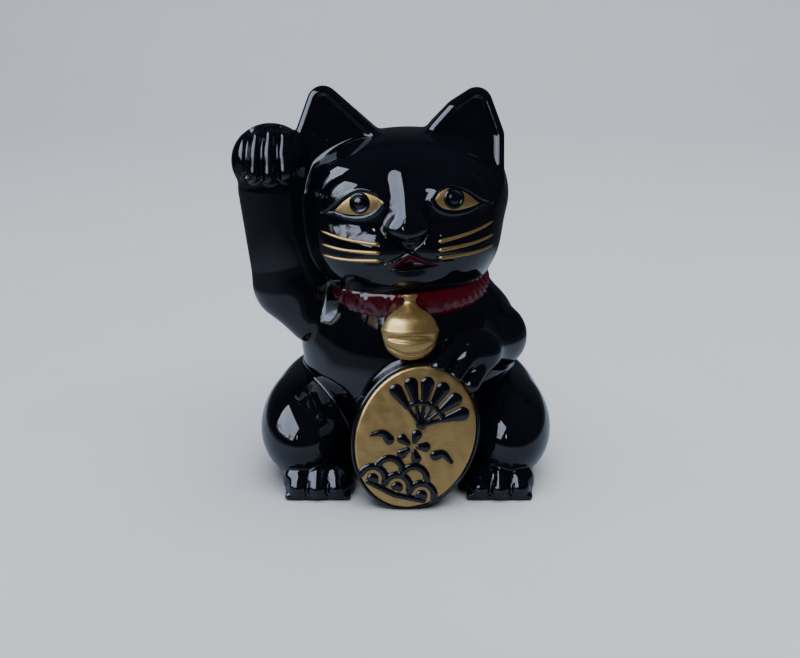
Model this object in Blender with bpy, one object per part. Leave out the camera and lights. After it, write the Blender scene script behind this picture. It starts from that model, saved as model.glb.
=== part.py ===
"""Beckoning cat figurine: hollow slip-cast ceramic castings luted together, with raised gilt and red details.

Metres, +Z up. The cat faces -Y and stands on the table plane z = 0, with the origin under its middle.
Left and right are the cat's own, so the raised right arm is on the -X side.
Dimensions are written in millimetres and turned into metres by MM.
"""

import math

import bmesh
import bpy
from mathutils import Euler, Matrix, Vector
from mathutils.bvhtree import BVHTree

MM = 0.001

# Driving dimensions, millimetres.
WALL = 4.5  # thickness of the slip-cast clay
GAP = 0.35  # clearance left between neighbouring pieces
NECK_Z = 79.0  # level of the luted joint between head and body, hidden by the collar
HEAD_TURN = 1.5  # degrees the head is turned towards the cat's left
HEAD_TILT = -2.6  # degrees the head is tipped, its left side up

COLLAR_RADII = (31.4, 33.4)  # middle of the band, across and front to back
COLLAR_HEIGHT = 9.6
COLLAR_THICKNESS = 4.8
BELL_RADIUS = 11.0
BELL_CENTRE = (0.3, -42.5, 70.5)

COIN_RADII = (23.8, 29.6)  # half width, half length
COIN_THICKNESS = 5.0
COIN_CENTRE = (2.4, -47.2, 29.4)
COIN_LEAN = 9.0  # degrees the coin leans back
COIN_SWING = 19.0  # degrees its long axis is turned from upright, top towards the cat's left
RELIEF_HEIGHT = 1.4
COIN_BED_RIM = 1.8  # width of the clay edge that frames the coin
COIN_BED_DEPTH = 14.0  # from the coin's face back into the belly

DRAIN_CENTRE = (0.0, 18.0)  # the hole under the base, behind the middle
DRAIN_RADIUS = 11.0
RECESS_RADIUS = 15.5  # shallow recess round the hole
RECESS_DEPTH = 3.0
STOPPER_FLANGE = (14.0, 1.6)  # radius, thickness
STOPPER_LENGTH = 9.0
FLOOR_THICKNESS = 5.0  # clay between the base recess and the hollow

VOXEL = 1.3
BLACK = (0.008, 0.009, 0.013, 1.0)
GOLD = (0.60, 0.43, 0.19, 1.0)
RED = (0.20, 0.008, 0.018, 1.0)
GREY_RUBBER = (0.35, 0.34, 0.32, 1.0)


def clear_scene():
    for obj in list(bpy.data.objects):
        bpy.data.objects.remove(obj)


def material(name, colour, roughness, metallic=0.0):
    made = bpy.data.materials.new(name)
    made.use_nodes = True
    shader = made.node_tree.nodes["Principled BSDF"]
    shader.inputs["Base Color"].default_value = colour
    shader.inputs["Roughness"].default_value = roughness
    shader.inputs["Metallic"].default_value = metallic
    return made


# ---- Building blocks -------------------------------------------------------------------------------------


def new_object(name, mesh):
    obj = bpy.data.objects.new(name, mesh)
    bpy.context.scene.collection.objects.link(obj)
    return obj


def mesh_from(bm, name="shape"):
    mesh = bpy.data.meshes.new(name)
    bm.to_mesh(mesh)
    bm.free()
    return mesh


def ball(bm, centre, radii, turn=(0, 0, 0), segments=40):
    """Adds an ellipsoid. turn is its rotation in degrees."""
    rotation = Euler([math.radians(a) for a in turn]).to_matrix().to_4x4()
    scale = Matrix.Diagonal((*[r * MM for r in radii], 1))
    place = Matrix.Translation(Vector(centre) * MM) @ rotation @ scale
    bmesh.ops.create_uvsphere(bm, u_segments=segments, v_segments=segments // 2, radius=1, matrix=place)


def limb(bm, start, end, start_radius, end_radius, steps=7):
    """Adds a tapering limb as a row of overlapping balls."""
    for step in range(steps):
        share = step / (steps - 1)
        centre = Vector(start).lerp(Vector(end), share)
        radius = start_radius + (end_radius - start_radius) * share
        ball(bm, centre, (radius,) * 3, segments=20)


def cylinder_mesh(radius, bottom, top, centre, segments=32):
    """An upright cylinder from z = bottom to z = top."""
    bm = bmesh.new()
    middle = Matrix.Translation(Vector((*centre, (bottom + top) / 2)) * MM)
    bmesh.ops.create_cone(
        bm, cap_ends=True, segments=segments, radius1=radius * MM, radius2=radius * MM,
        depth=(top - bottom) * MM, matrix=middle,
    )
    return mesh_from(bm)


def box_mesh(low, high):
    bm = bmesh.new()
    middle = (Vector(low) + Vector(high)) / 2 * MM
    size = (Vector(high) - Vector(low)) * MM
    bmesh.ops.create_cube(bm, size=1, matrix=Matrix.Translation(middle) @ Matrix.Diagonal((*size, 1)))
    return mesh_from(bm)


def bake(obj):
    """Applies the object's modifiers to its mesh."""
    bpy.context.view_layer.update()
    graph = bpy.context.evaluated_depsgraph_get()
    mesh = bpy.data.meshes.new_from_object(obj.evaluated_get(graph))
    obj.modifiers.clear()
    old = obj.data
    obj.data = mesh
    bpy.data.meshes.remove(old)
    return obj


def sculpt(name, bm, triangles, smoothing=6):
    """Melts overlapping shapes into one smooth skin of about the given number of triangles."""
    obj = new_object(name, mesh_from(bm, name))
    remesh = obj.modifiers.new("melt", "REMESH")
    remesh.mode = "VOXEL"
    remesh.voxel_size = VOXEL * MM
    smooth = obj.modifiers.new("smooth", "SMOOTH")
    smooth.iterations = smoothing
    smooth.factor = 0.6
    bake(obj)
    obj.data.calc_loop_triangles()
    decimate = obj.modifiers.new("thin_out", "DECIMATE")
    decimate.ratio = min(1.0, triangles / len(obj.data.loop_triangles))
    return bake(obj)


def combine(obj, other, operation, keep=False):
    """Applies a Boolean with another object or mesh, which is removed unless keep is true."""
    tool = new_object("tool", other) if isinstance(other, bpy.types.Mesh) else other
    modifier = obj.modifiers.new("combine", "BOOLEAN")
    modifier.operation = operation
    modifier.solver = "EXACT"
    modifier.use_self = True
    modifier.object = tool
    bake(obj)
    if not keep:
        bpy.data.objects.remove(tool)
    return obj


def grown(obj, by=GAP):
    """A copy of the object with its skin moved outwards."""
    copy = new_object("tool", obj.data.copy())
    copy.matrix_world = obj.matrix_world
    move = copy.modifiers.new("grow", "DISPLACE")
    move.strength = by * MM
    move.mid_level = 0
    return bake(copy)


def keep_largest(obj):
    """Drops the chips that a cut leaves beside the piece itself."""
    bm = bmesh.new()
    bm.from_mesh(obj.data)
    bm.verts.ensure_lookup_table()
    left, islands = set(bm.verts), []
    while left:
        island, edge = set(), [left.pop()]
        while edge:
            vert = edge.pop()
            island.add(vert)
            beside = {link.other_vert(vert) for link in vert.link_edges} & left
            left -= beside
            edge += beside
        islands.append(island)
    islands.sort(key=len)
    for island in islands[:-1]:
        bmesh.ops.delete(bm, geom=list(island), context="VERTS")
    bm.to_mesh(obj.data)
    bm.free()
    return obj


def make_room(obj, *neighbours, by=GAP):
    """Cuts the neighbours out of the object, with clearance."""
    for neighbour in neighbours:
        combine(obj, grown(neighbour, by), "DIFFERENCE")
    return keep_largest(obj)


def finish(obj, skin):
    obj.data.materials.clear()
    obj.data.materials.append(skin)
    obj.data.shade_smooth()
    obj.data.set_sharp_from_angle(angle=math.radians(50))
    return obj


# ---- Castings --------------------------------------------------------------------------------------------


def neck_cut(above):
    """A large box that removes what is above or below the luted joint."""
    reach = 200
    if above:
        return box_mesh((-reach, -reach, NECK_Z - GAP / 2), (reach, reach, reach))
    return box_mesh((-reach, -reach, -reach), (reach, reach, NECK_Z + GAP / 2))


def body():
    """Torso, haunches and base in one hollow casting, open at the neck and at the drain hole."""
    bm = bmesh.new()
    ball(bm, (0, 1, 43), (45, 37, 52))
    ball(bm, (0, 12, 34), (42, 35, 40))
    ball(bm, (0, -8, 48), (37, 32, 36))
    for side in (-1, 1):
        ball(bm, (side * 39, -2, 22), (22, 34, 23.5), turn=(0, 0, side * 8))
        ball(bm, (side * 29, 17, 23), (27, 28, 25))
        ball(bm, (side * 28, -2, 63), (19, 18, 19))
    limb(bm, (0, -2, 70), (0, -2, 84), 30, 30.5, steps=3)
    ball(bm, (0, -4, 4), (45, 38, 9))
    obj = combine(sculpt("body_casting", bm, 1500), coin_bed(), "UNION")
    combine(obj, box_mesh((-90, -90, -60), (90, 90, 0)), "DIFFERENCE")
    combine(obj, neck_cut(above=True), "DIFFERENCE")
    hollow = bmesh.new()
    ball(hollow, (0, 2, 45), (40, 32, 38))
    ball(hollow, (0, 12, 32), (38, 30, 24))
    limb(hollow, (0, 0, 60), (0, 0, 84), 20, 20, steps=6)
    inside = sculpt("hollow", hollow, 300)
    floor_top = RECESS_DEPTH + FLOOR_THICKNESS
    combine(inside, box_mesh((-90, -90, -60), (90, 90, floor_top)), "DIFFERENCE")
    combine(obj, inside, "DIFFERENCE")
    combine(obj, cylinder_mesh(RECESS_RADIUS, -2, RECESS_DEPTH, DRAIN_CENTRE), "DIFFERENCE")
    return combine(obj, cylinder_mesh(DRAIN_RADIUS, -2, floor_top + 10, DRAIN_CENTRE), "DIFFERENCE")


def head():
    """Hollow head with two ears, open at the neck."""
    bm = bmesh.new()
    ball(bm, (0, -1, 113), (41, 37, 30))
    ball(bm, (0, 1, 123), (40, 32, 20.5))
    ball(bm, (0, -3, 96), (39.5, 34, 20))
    for side in (-1, 1):
        ball(bm, (side * 17, -15, 101), (20, 20.5, 15))
        tip = (side * 30.8, 1, 156.4)
        for base in (17, 23, 29, 35):
            limb(bm, (side * base, 2, 134), tip, 7, 3.8, steps=9)
    ball(bm, (0, -33, 101), (13, 10, 9))
    ball(bm, (0, -32, 111), (7, 9.5, 12))
    ball(bm, (0, -39, 108.5), (6.5, 5.5, 4))
    limb(bm, (0, -2, 74), (0, -2, 92), 30.5, 33, steps=4)
    obj = turn_head(sculpt("head_casting", bm, 1500))
    combine(obj, neck_cut(above=False), "DIFFERENCE")
    hollow = bmesh.new()
    ball(hollow, (0, -1, 113), (41 - WALL, 34 - WALL, 29 - WALL))
    limb(hollow, (0, 0, 74), (0, 0, 100), 20, 20, steps=6)
    inside = sculpt("hollow", hollow, 240)
    return combine(obj, inside, "DIFFERENCE")


def turn_head(obj):
    """Turns and tips a piece about the neck's axis, with the head."""
    pivot = Matrix.Translation(Vector((0, 0, NECK_Z * MM)))
    swing = Euler((0, math.radians(HEAD_TILT), math.radians(HEAD_TURN))).to_matrix().to_4x4()
    obj.data.transform(pivot @ swing @ pivot.inverted())
    return obj


def raised_arm():
    """Right arm, bent up beside the head, with its paw folded forward over the wrist."""
    bm = bmesh.new()
    limb(bm, (-37, -2, 64), (-50.5, -4, 80), 11, 15, steps=6)
    limb(bm, (-50.5, -4, 80), (-53.8, -6, 117), 15.3, 14.2, steps=8)
    ball(bm, (-57, -7, 132), (14.8, 14, 13.3))
    for finger in range(4):
        ball(bm, (-67.2 + 6.6 * finger, -18.5 - 1.5 * (finger in (1, 2)), 131), (3.9, 5, 8.5))
    return sculpt("raised_arm", bm, 760)


def lowered_arm():
    """Left arm, bent across the belly, with its paw on top of the coin."""
    bm = bmesh.new()
    limb(bm, (32, -4, 68), (38, -9, 56), 15, 13.5, steps=5)
    limb(bm, (38, -9, 56), (27, -36, 54), 13, 9.5, steps=7)
    for toe in range(3):
        share = toe / 2
        root = Vector((20, -38, 60)).lerp(Vector((34, -30, 51)), share)
        tip = Vector((12.5, -46, 56)).lerp(Vector((30, -42, 47)), share)
        limb(bm, root, tip, 5.5, 4.2, steps=4)
    obj = sculpt("lowered_arm", bm, 600)
    return combine(obj, neck_cut(above=True), "DIFFERENCE")


def hind_paw(name, side):
    """One hind paw with three toes."""
    bm = bmesh.new()
    ball(bm, (side * 36.5, -32, 7), (13.8, 18, 8.5))
    for toe in range(3):
        x = side * (36.5 + (toe - 1) * 8.6)
        ball(bm, (x, -43.5 + abs(toe - 1) * 1.2, 6.2), (4.9, 7.5, 8.6))
    obj = sculpt(name, bm, 340, smoothing=3)
    return combine(obj, box_mesh((-90, -90, -60), (90, 90, 0)), "DIFFERENCE")


def tail():
    """Short bobtail curled round the lower back."""
    bm = bmesh.new()
    turns = 9
    for step in range(turns):
        share = step / (turns - 1)
        angle = math.radians(-60 + 200 * share)
        radius = 8.5 - 2.5 * share
        ball(bm, (12 * math.cos(angle) - 2, 46 - 2 * share, 19 + 9 * math.sin(angle)), (radius,) * 3)
    return sculpt("tail", bm, 280)


# ---- Raised details --------------------------------------------------------------------------------------


def collar():
    """Pleated band round the neck."""
    ring_segments, band_segments = 40, 6
    bm = bmesh.new()
    rings = []
    for i in range(ring_segments):
        around = 2 * math.pi * i / ring_segments
        rings.append([])
        for j in range(band_segments):
            over = 2 * math.pi * j / band_segments
            out = COLLAR_THICKNESS / 2 * math.cos(over)
            up = COLLAR_HEIGHT / 2 * math.sin(over)
            x = (COLLAR_RADII[0] + out) * math.cos(around)
            y = (COLLAR_RADII[1] + out) * math.sin(around) - 2
            rings[-1].append(bm.verts.new(Vector((x, y, NECK_Z + 0.4 + up)) * MM))
    for i in range(ring_segments):
        for j in range(band_segments):
            here, after = rings[i], rings[(i + 1) % ring_segments]
            above = (j + 1) % band_segments
            bm.faces.new((here[j], after[j], after[above], here[above]))
    bmesh.ops.recalc_face_normals(bm, faces=bm.faces)
    return turn_head(new_object("collar", mesh_from(bm, "collar")))


def bell():
    """Round bell with an eye that laps over the collar."""
    x, y, z = BELL_CENTRE
    bm = bmesh.new()
    ball(bm, BELL_CENTRE, (BELL_RADIUS, BELL_RADIUS * 0.8, BELL_RADIUS))
    ball(bm, (x, y - 1.5, z + 0.5), (BELL_RADIUS + 0.4, BELL_RADIUS * 0.75, 1.4))
    limb(bm, (x, y + 1.2, z + 8), (x, y + 3.2, z + 14), 4.2, 2.6, steps=4)
    return sculpt("bell", bm, 420, smoothing=2)


def coin_place():
    """From the coin's own axes (x across, y up its length, z out of its face) to the figure's."""
    upright = Matrix.Rotation(math.radians(90 - COIN_LEAN), 4, "X")
    swing = Matrix.Rotation(math.radians(-COIN_SWING), 4, "Z")
    return Matrix.Translation(Vector(COIN_CENTRE) * MM) @ upright @ swing


def coin_bed():
    """Oval boss on the belly that the coin is let into, a little wider than the coin."""
    bm = bmesh.new()
    bmesh.ops.create_cone(bm, cap_ends=True, segments=36, radius1=1.06, radius2=1, depth=1)
    radii = [(radius + COIN_BED_RIM) * MM for radius in COIN_RADII]
    bm.transform(Matrix.Diagonal((*radii, COIN_BED_DEPTH * MM, 1)))
    bm.transform(coin_place() @ Matrix.Translation((0, 0, (COIN_THICKNESS / 2 - 1 - COIN_BED_DEPTH / 2) * MM)))
    return mesh_from(bm)


def coin():
    """Oval plaque standing in front of the belly, with a rounded edge."""
    bm = bmesh.new()
    bmesh.ops.create_cone(bm, cap_ends=True, segments=40, radius1=1, radius2=1, depth=1)
    bm.transform(Matrix.Diagonal((COIN_RADII[0] * MM, COIN_RADII[1] * MM, COIN_THICKNESS * MM, 1)))
    obj = new_object("koban_coin", mesh_from(bm, "koban_coin"))
    edge = obj.modifiers.new("edge", "BEVEL")
    edge.width = 1.2 * MM
    edge.segments = 2
    edge.limit_method = "ANGLE"
    bake(obj)
    obj.data.transform(coin_place())
    return obj


def relief(name, bm):
    """A raised ornament: flat shapes in the coin's plane, stood on its face."""
    obj = new_object(name, mesh_from(bm, name))
    lift = (COIN_THICKNESS / 2 + GAP) * MM
    obj.data.transform(coin_place() @ Matrix.Translation((0, 0, lift)))
    return obj


def plate(bm, outline):
    """Adds a flat plate of the relief's height from an outline given counter-clockwise, in millimetres."""
    corners = [bm.verts.new((x * MM, y * MM, 0)) for x, y in outline]
    face = bm.faces.new(corners)
    top = bmesh.ops.extrude_face_region(bm, geom=[face])
    raised = [item for item in top["geom"] if isinstance(item, bmesh.types.BMVert)]
    bmesh.ops.translate(bm, verts=raised, vec=(0, 0, RELIEF_HEIGHT * MM))
    bmesh.ops.recalc_face_normals(bm, faces=bm.faces)


def arc(centre, radius, start, end, steps):
    """Points on an arc, from start to end in degrees."""
    points = []
    for step in range(steps + 1):
        angle = math.radians(start + (end - start) * step / steps)
        points.append((centre[0] + radius * math.cos(angle), centre[1] + radius * math.sin(angle)))
    return points


def fan_relief():
    """Folding-fan shape with a scalloped rim, on the coin's upper part."""
    pivot, ribs, outer, inner = (0, 2.5), 5, 19.5, 7.5
    opening = (35, 145)
    outline = []
    for rib in range(ribs):
        start = opening[0] + (opening[1] - opening[0]) * rib / ribs
        end = opening[0] + (opening[1] - opening[0]) * (rib + 1) / ribs
        middle = math.radians((start + end) / 2)
        for point in arc(pivot, outer, start, end, 4)[:-1]:
            bulge = 1 + 0.07 * math.cos(5 * math.pi / 1.1 * (math.atan2(point[1] - pivot[1], point[0]) - middle) / 5)
            outline.append((point[0] * bulge, pivot[1] + (point[1] - pivot[1]) * bulge))
    outline.append(arc(pivot, outer, opening[1], opening[1], 1)[0])
    outline += arc(pivot, inner, opening[1], opening[0], 8)
    bm = bmesh.new()
    plate(bm, outline)
    return relief("koban_relief_fan", bm)


def blossom_relief():
    """Five-petalled blossom in the middle of the coin."""
    petals, reach, size = 5, 4.4, 2.9
    outline = []
    for petal in range(petals):
        angle = 90 + 360 * petal / petals
        centre = arc((0, 1.0), reach, angle, angle, 1)[0]
        outline += arc(centre, size, angle - 95, angle + 95, 8)
    bm = bmesh.new()
    plate(bm, outline)
    return relief("koban_relief_blossom", bm)


def wave_relief():
    """Row of three waves on the coin's lower part."""
    waves, radius, base = 3, 5.4, -17.5
    outline = []
    for wave in range(waves):
        centre = ((1 - wave) * radius * 1.9, base + 2)
        outline += arc(centre, radius, 12, 168, 10)
    outline += [(-radius * 2.7, base - 1.5), (radius * 2.7, base - 1.5)]
    bm = bmesh.new()
    plate(bm, outline)
    return relief("koban_relief_waves", bm)


def eye(name, side):
    """Almond-shaped eyeball set in the face."""
    bm = bmesh.new()
    ball(bm, (side * 18.2, -30.0, 121.2), (8.0, 4.6, 4.4), turn=(0, side * 8, side * 22), segments=16)
    return turn_head(new_object(name, mesh_from(bm, name)))


def iris(name, side):
    """Raised iris in the middle of an eyeball."""
    bm = bmesh.new()
    ball(bm, (side * 18.4, -33.0, 121.4), (4.1, 2.6, 4.1), turn=(0, 0, side * 22), segments=12)
    return turn_head(new_object(name, mesh_from(bm, name)))


def mouth():
    """Small parted mouth under the muzzle."""
    bm = bmesh.new()
    ball(bm, (0, -38.5, 97.4), (8.5, 3.6, 2.6), segments=12)
    return turn_head(new_object("mouth", mesh_from(bm, "mouth")))


def whisker(name, side, row, face):
    """Raised line that follows the cheek, seen from the front."""
    inner = Vector((side * 11.5, 0, 102.5 - 3.2 * row))
    outer = Vector((side * 33.5, 0, 109.5 - 4.6 * row))
    curve = bpy.data.curves.new(name, "CURVE")
    curve.dimensions = "3D"
    curve.bevel_depth = 1.0 * MM
    curve.bevel_resolution = 1
    curve.use_fill_caps = True
    points = 7
    line = curve.splines.new("POLY")
    line.points.add(points - 1)
    for i in range(points):
        share = i / (points - 1)
        front = (inner.lerp(outer, share) + Vector((0, -90, 0))) * MM
        hit, normal, _, _ = face.ray_cast(front, Vector((0, 1, 0)))
        radius = 0.72 - 0.4 * share
        line.points[i].co = (*(hit + normal * (radius + GAP) * MM), 1)
        line.points[i].radius = radius
    drawn = new_object("drawn", curve)
    bpy.context.view_layer.update()
    mesh = bpy.data.meshes.new_from_object(drawn.evaluated_get(bpy.context.evaluated_depsgraph_get()))
    bpy.data.objects.remove(drawn)
    bm = bmesh.new()
    bm.from_mesh(mesh)
    bmesh.ops.remove_doubles(bm, verts=bm.verts, dist=0.01 * MM)
    bmesh.ops.recalc_face_normals(bm, faces=bm.faces)
    bm.to_mesh(mesh)
    bm.free()
    return new_object(name, mesh)


def stopper():
    """Soft plug that closes the drain hole from below. Its origin is on the axis it pulls out along."""
    radius, thickness = STOPPER_FLANGE
    top = RECESS_DEPTH - GAP
    bottom = top - thickness
    profile = [
        (0.0, bottom + STOPPER_LENGTH + thickness),
        (DRAIN_RADIUS - GAP - 1.4, bottom + STOPPER_LENGTH + thickness),
        (DRAIN_RADIUS - GAP - 0.4, bottom + STOPPER_LENGTH + thickness - 1.2),
        (DRAIN_RADIUS - GAP, top),
        (radius - 0.4, top),
        (radius, top - 0.4),
        (radius, bottom + 0.4),
        (radius - 0.4, bottom),
        (0.0, bottom),
    ]
    bm = bmesh.new()
    points = [bm.verts.new(Vector((r, 0, z)) * MM) for r, z in profile]
    edges = [bm.edges.new(pair) for pair in zip(points, points[1:])]
    bmesh.ops.spin(
        bm, geom=points + edges, axis=(0, 0, 1), cent=(0, 0, 0), angle=2 * math.pi, steps=32,
        use_merge=True, use_duplicate=False,
    )
    bmesh.ops.remove_doubles(bm, verts=bm.verts, dist=0.01 * MM)
    bmesh.ops.recalc_face_normals(bm, faces=bm.faces)
    obj = new_object("base_stopper", mesh_from(bm, "base_stopper"))
    obj.location = Vector((*DRAIN_CENTRE, 0)) * MM
    return obj


# ---- Assembly --------------------------------------------------------------------------------------------


def assemble():
    glaze = material("black_glaze", BLACK, 0.06)
    gilt = material("gilt", GOLD, 0.34, 0.75)
    red_enamel = material("red_enamel", RED, 0.22)
    rubber = material("rubber", GREY_RUBBER, 0.7)

    coin_piece, bell_piece, collar_piece = coin(), bell(), collar()
    paws = [hind_paw("left_hind_paw", 1), hind_paw("right_hind_paw", -1)]
    tail_piece = tail()
    head_piece = head()
    body_piece = body()
    left_arm, right_arm = lowered_arm(), raised_arm()

    eyes = [eye("left_eye", 1), eye("right_eye", -1)]
    irises = [iris("left_iris", 1), iris("right_iris", -1)]
    mouth_piece = mouth()
    face = BVHTree.FromObject(head_piece, bpy.context.evaluated_depsgraph_get())
    whiskers = [
        whisker(f"{word}_whisker_{row + 1}", side, row, face)
        for word, side in (("left", 1), ("right", -1))
        for row in range(3)
    ]

    make_room(collar_piece, bell_piece)
    make_room(left_arm, coin_piece, bell_piece, collar_piece)
    for paw in paws:
        make_room(paw, coin_piece)
    make_room(body_piece, coin_piece, bell_piece, collar_piece, left_arm, tail_piece, *paws)
    make_room(head_piece, collar_piece, bell_piece, mouth_piece, *eyes)
    make_room(right_arm, head_piece, body_piece, collar_piece)
    for ball_piece, iris_piece in zip(eyes, irises):
        make_room(ball_piece, iris_piece)
        make_room(head_piece, iris_piece)

    for obj in (body_piece, head_piece, left_arm, right_arm, tail_piece, *paws, *irises):
        finish(obj, glaze)
    for obj in (fan_relief(), blossom_relief(), wave_relief()):
        finish(obj, glaze)
    for obj in (coin_piece, bell_piece, *eyes, *whiskers):
        finish(obj, gilt)
    finish(collar_piece, red_enamel)
    finish(mouth_piece, red_enamel)
    finish(stopper(), rubber)


clear_scene()
assemble()
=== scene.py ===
import math
from concurrent.futures import ThreadPoolExecutor

import bmesh
import bpy
import numpy as np
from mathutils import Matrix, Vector


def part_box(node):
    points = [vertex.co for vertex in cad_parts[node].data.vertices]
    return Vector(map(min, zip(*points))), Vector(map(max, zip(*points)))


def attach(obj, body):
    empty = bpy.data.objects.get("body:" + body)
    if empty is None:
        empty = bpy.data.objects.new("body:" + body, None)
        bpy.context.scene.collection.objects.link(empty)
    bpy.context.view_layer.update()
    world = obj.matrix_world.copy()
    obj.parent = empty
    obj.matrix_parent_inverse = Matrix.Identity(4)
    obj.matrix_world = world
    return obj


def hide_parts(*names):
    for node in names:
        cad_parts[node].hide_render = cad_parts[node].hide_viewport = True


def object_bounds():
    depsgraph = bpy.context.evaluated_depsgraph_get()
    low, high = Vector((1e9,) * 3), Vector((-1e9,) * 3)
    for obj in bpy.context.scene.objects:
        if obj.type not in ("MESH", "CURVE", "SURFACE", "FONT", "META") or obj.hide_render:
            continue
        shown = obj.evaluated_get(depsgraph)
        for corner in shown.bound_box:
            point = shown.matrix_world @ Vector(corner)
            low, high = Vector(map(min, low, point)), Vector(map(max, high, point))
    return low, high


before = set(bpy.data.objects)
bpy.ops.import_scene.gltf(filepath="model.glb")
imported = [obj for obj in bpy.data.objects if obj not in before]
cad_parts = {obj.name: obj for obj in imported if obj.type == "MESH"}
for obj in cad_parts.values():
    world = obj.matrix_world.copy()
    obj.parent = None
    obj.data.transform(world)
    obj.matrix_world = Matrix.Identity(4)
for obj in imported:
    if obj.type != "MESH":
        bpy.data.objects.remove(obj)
CAD_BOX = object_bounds()

# Everything below is worked out in millimetres, in the frame's axes: the cat faces -Y and stands on z = 0.
# "left" and "right" are the cat's own, so its raised right arm is on the -X side.
MM = 0.001
VOXEL = 0.5  # spacing of the points that the glazed skin is drawn through
BLOCK = 4  # voxels along one side of a block that is skipped when the skin is far from it
CHUNK = 32768  # points that a field is worked out for at a time


def middle(node):
    """Centre of a CAD node's box."""
    low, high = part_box(node)
    return np.array((low + high) / 2) / MM


def extent(node):
    """Sizes of a CAD node's box."""
    low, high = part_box(node)
    return np.array(high - low) / MM


def unit(vector):
    return np.asarray(vector, float) / np.linalg.norm(vector)


# The neck's centre and the line through the eyes give the head's own axes.
NECK = middle("collar")
ACROSS = unit(middle("left_eye") - middle("right_eye"))
UPRIGHT = unit(np.cross(ACROSS, np.cross((0, 0, 1), ACROSS)))
HEAD_AXES = np.column_stack((ACROSS, np.cross(UPRIGHT, ACROSS), UPRIGHT))
FACE_X = float(((middle("left_eye") + middle("right_eye")) / 2 - NECK) @ ACROSS)  # the face's middle line

# The coin's long axis runs from its lower ornament to its upper one, and it faces the front.
COIN = middle("koban_coin")
COIN_UP = unit(middle("koban_relief_fan") - middle("koban_relief_waves"))
COIN_OUT = unit((0, -COIN_UP[2], COIN_UP[1]))
COIN_AXES = np.column_stack((np.cross(COIN_UP, COIN_OUT), COIN_UP, COIN_OUT))
COIN_SIZE = np.array((46.2, 58.2, 5.0))  # width, length and thickness


# ---- Shapes as distance fields -------------------------------------------------------------------
# A field takes points (n, 3) and returns about how far each lies outside the surface, in millimetres.


def rotation(turn):
    """Rotation matrix from degrees about X, then Y, then Z."""
    a, b, c = np.radians(turn)
    about_x = np.array([[1, 0, 0], [0, math.cos(a), -math.sin(a)], [0, math.sin(a), math.cos(a)]])
    about_y = np.array([[math.cos(b), 0, math.sin(b)], [0, 1, 0], [-math.sin(b), 0, math.cos(b)]])
    about_z = np.array([[math.cos(c), -math.sin(c), 0], [math.sin(c), math.cos(c), 0], [0, 0, 1]])
    return about_z @ about_y @ about_x


def length(v):
    """Length of each row."""
    return np.sqrt(np.einsum("ij,ij->i", v, v))


def ellipsoid(p, centre, radii, turn=None):
    q = p - np.asarray(centre, p.dtype)
    if turn is not None:
        q = q @ rotation(turn).astype(p.dtype)
    q = q / np.asarray(radii, p.dtype)
    near = length(q)
    steep = length(q / np.asarray(radii, p.dtype))
    return near * (near - 1) / np.maximum(steep, 1e-6)


def limb(p, start, end, start_radius, end_radius):
    """A round-ended bar with a radius at each end."""
    start, end = np.asarray(start, p.dtype), np.asarray(end, p.dtype)
    along = end - start
    share = np.clip((p - start) @ along / (along @ along), 0, 1)
    return length(p - start - share[:, None] * along) - (start_radius + (end_radius - start_radius) * share)


def rounded_box(p, centre, half, radius, turn=None):
    q = p - np.asarray(centre, p.dtype)
    if turn is not None:
        q = q @ rotation(turn).astype(p.dtype)
    q = np.abs(q) - (np.asarray(half, p.dtype) - radius)
    return length(np.maximum(q, 0)) + np.minimum(q.max(axis=1), 0) - radius


def join(a, b, fillet):
    """Union of two fields with a soft fillet of about that size where they meet."""
    overlap = np.maximum(fillet - np.abs(a - b), 0) / fillet
    return np.minimum(a, b) - overlap * overlap * fillet / 4


def carve(a, b, fillet):
    """The first field without the second, the edge rounded."""
    return -join(-a, b, fillet)


def common(a, b, fillet):
    """What two fields share, its edge rounded."""
    return -join(-a, -b, fillet)


def smooth_step(value):
    t = np.clip(value, 0, 1)
    return t * t * (3 - 2 * t)


def curve(points, steps=6):
    """A smooth line through the points, as short straight pieces."""
    points = np.asarray(points, float)
    ends = np.vstack((2 * points[0] - points[1], points, 2 * points[-1] - points[-2]))
    line = []
    for before, a, b, after in zip(ends, ends[1:], ends[2:], ends[3:]):
        speed = b - before
        bend = 2 * before - 5 * a + 4 * b - after
        twist = 3 * (a - b) + after - before
        for t in np.arange(steps) / steps:
            line.append(a + 0.5 * t * (speed + t * (bend + t * twist)))
    return np.array(line + [points[-1]])


def from_line(flat, line):
    """Distance of flat points (n, 2) from a line, and how far along it the nearest point is, 0 to 1."""
    best = np.full(len(flat), 1e9, flat.dtype)
    place = np.zeros(len(flat), flat.dtype)
    line = line.astype(flat.dtype)
    for i, (a, b) in enumerate(zip(line, line[1:])):
        ab = b - a
        t = np.clip((flat - a) @ ab / (ab @ ab), 0, 1)
        gap = flat - a - t[:, None] * ab
        d = np.einsum("ij,ij->i", gap, gap)
        nearer = d < best
        best[nearer] = d[nearer]
        place[nearer] = (i + t[nearer]) / (len(line) - 1)
    return np.sqrt(best), place


def from_outline(flat, corners):
    """Distance of flat points from a convex outline that runs anticlockwise, negative inside."""
    corners = np.asarray(corners, float)
    edge, _ = from_line(flat, np.vstack((corners, corners[:1])))
    inside = np.ones(len(flat), bool)
    for a, b in zip(corners, np.roll(corners, -1, axis=0)):
        inside &= (b[0] - a[0]) * (flat[:, 1] - a[1]) > (b[1] - a[1]) * (flat[:, 0] - a[0])
    return np.where(inside, -edge, edge)


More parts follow.
